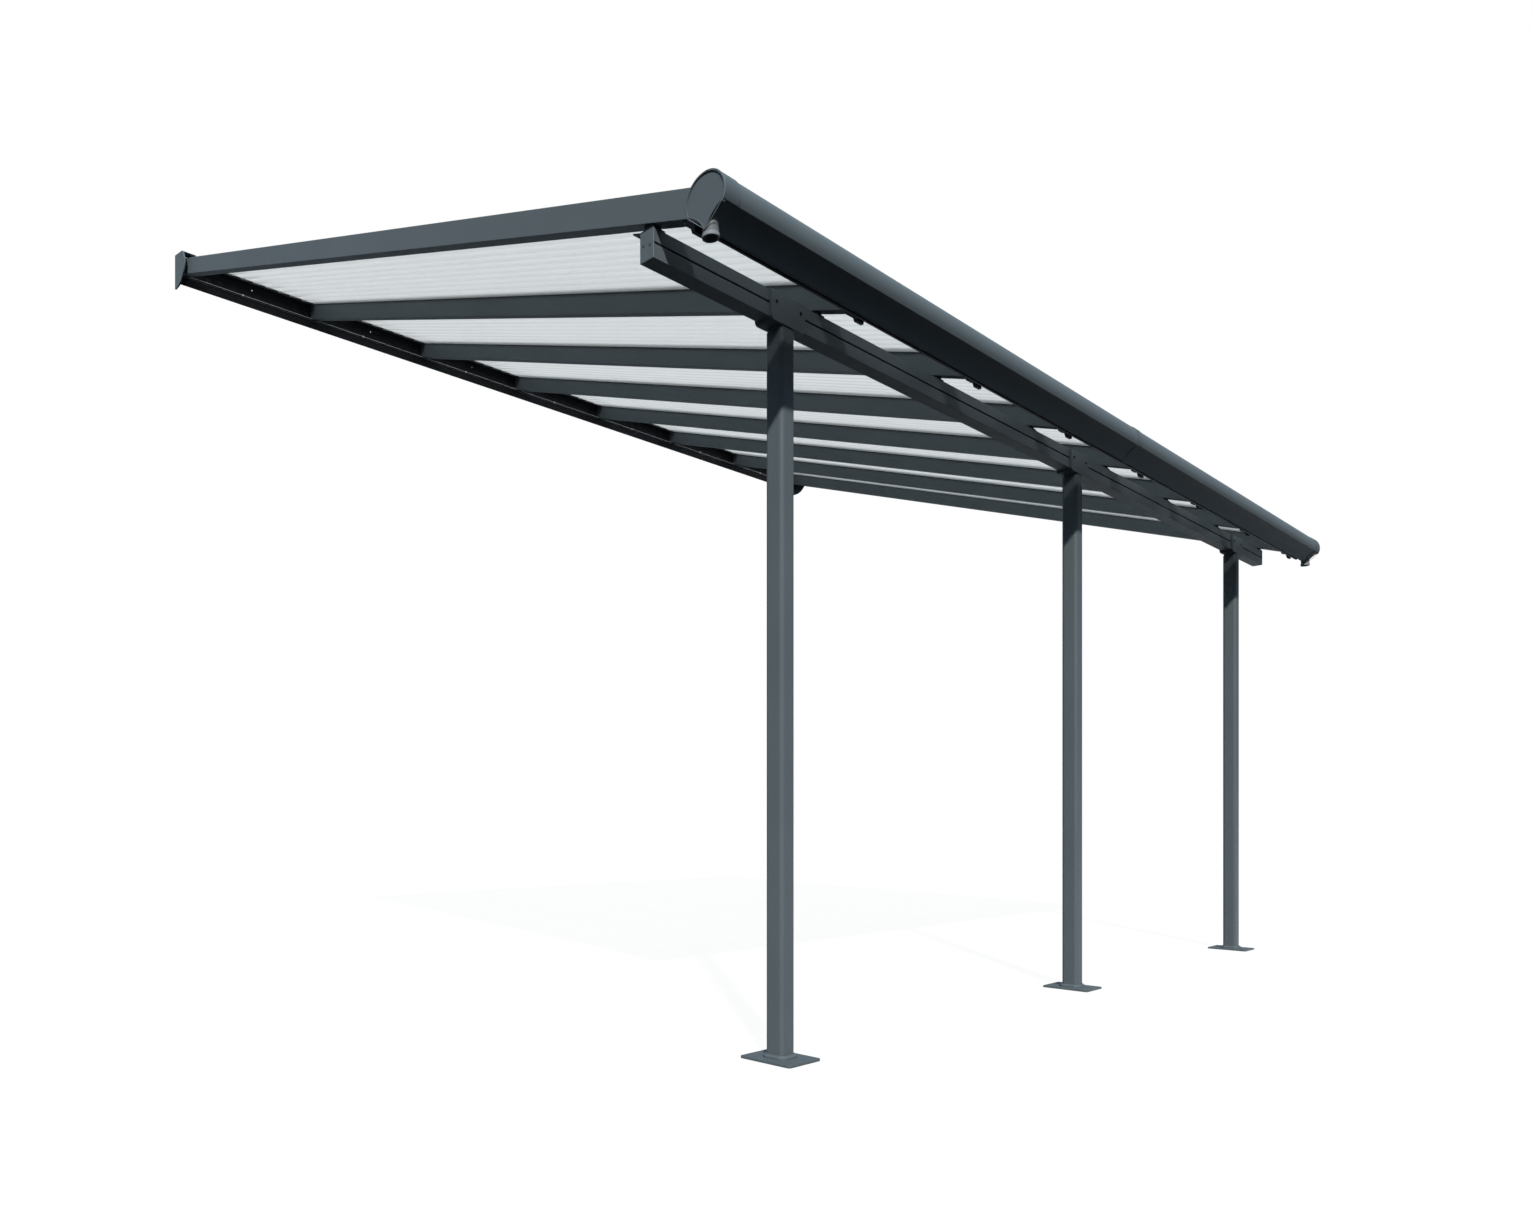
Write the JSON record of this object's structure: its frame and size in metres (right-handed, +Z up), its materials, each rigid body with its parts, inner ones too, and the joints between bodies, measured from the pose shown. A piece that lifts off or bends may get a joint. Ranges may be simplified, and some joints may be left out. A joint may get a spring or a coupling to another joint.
{
  "type": "patio cover",
  "caption": "Wall-fixed lean-to patio cover with sloping rafters, translucent roof sheets, a round gutter, a front beam and square posts on foot plates.",
  "frame": {"origin": "on the ground at the middle post, centre of its foot plate's underside", "axes": "+X along the wall, +Y from the posts to the wall, +Z up"},
  "size_m": [4.32, 3.0495, 3.0119],
  "materials": {
    "frame_paint": "fine matt powder coat, dark grey",
    "cap_plastic": "moulded, dark grey, faint grain",
    "roof_sheet": "translucent ribbed twin-wall sheet",
    "gasket_rubber": "soft black seal"
  },
  "bodies": {
    "root": {"beam_cap_left": "cap_plastic", "beam_cap_right": "cap_plastic", "foot_left": "frame_paint", "foot_middle": "frame_paint", "foot_right": "frame_paint", "front_beam": "frame_paint", "glazing_covers": "frame_paint", "gutter_cap_left": "cap_plastic", "gutter_cap_right": "cap_plastic", "gutter_hangers": "frame_paint", "gutter_joint": "frame_paint", "gutter_left": "frame_paint", "gutter_rail": "frame_paint", "gutter_right": "frame_paint", "post_bracket_left": "frame_paint", "post_bracket_middle": "frame_paint", "post_bracket_right": "frame_paint", "post_left": "frame_paint", "post_middle": "frame_paint", "post_right": "frame_paint", "rafter_1": "frame_paint", "rafter_2": "frame_paint", "rafter_3": "frame_paint", "rafter_4": "frame_paint", "rafter_5": "frame_paint", "rafter_6": "frame_paint", "rafter_7": "frame_paint", "rafter_8": "frame_paint", "rafter_seats": "frame_paint", "roof_gaskets": "gasket_rubber", "roof_panel_1": "roof_sheet", "roof_panel_2": "roof_sheet", "roof_panel_3": "roof_sheet", "roof_panel_4": "roof_sheet", "roof_panel_5": "roof_sheet", "roof_panel_6": "roof_sheet", "roof_panel_7": "roof_sheet", "sheet_end_trims": "frame_paint", "wall_profile": "frame_paint", "wall_profile_cap_left": "cap_plastic", "wall_profile_cap_right": "cap_plastic"}
  },
  "joints": []
}
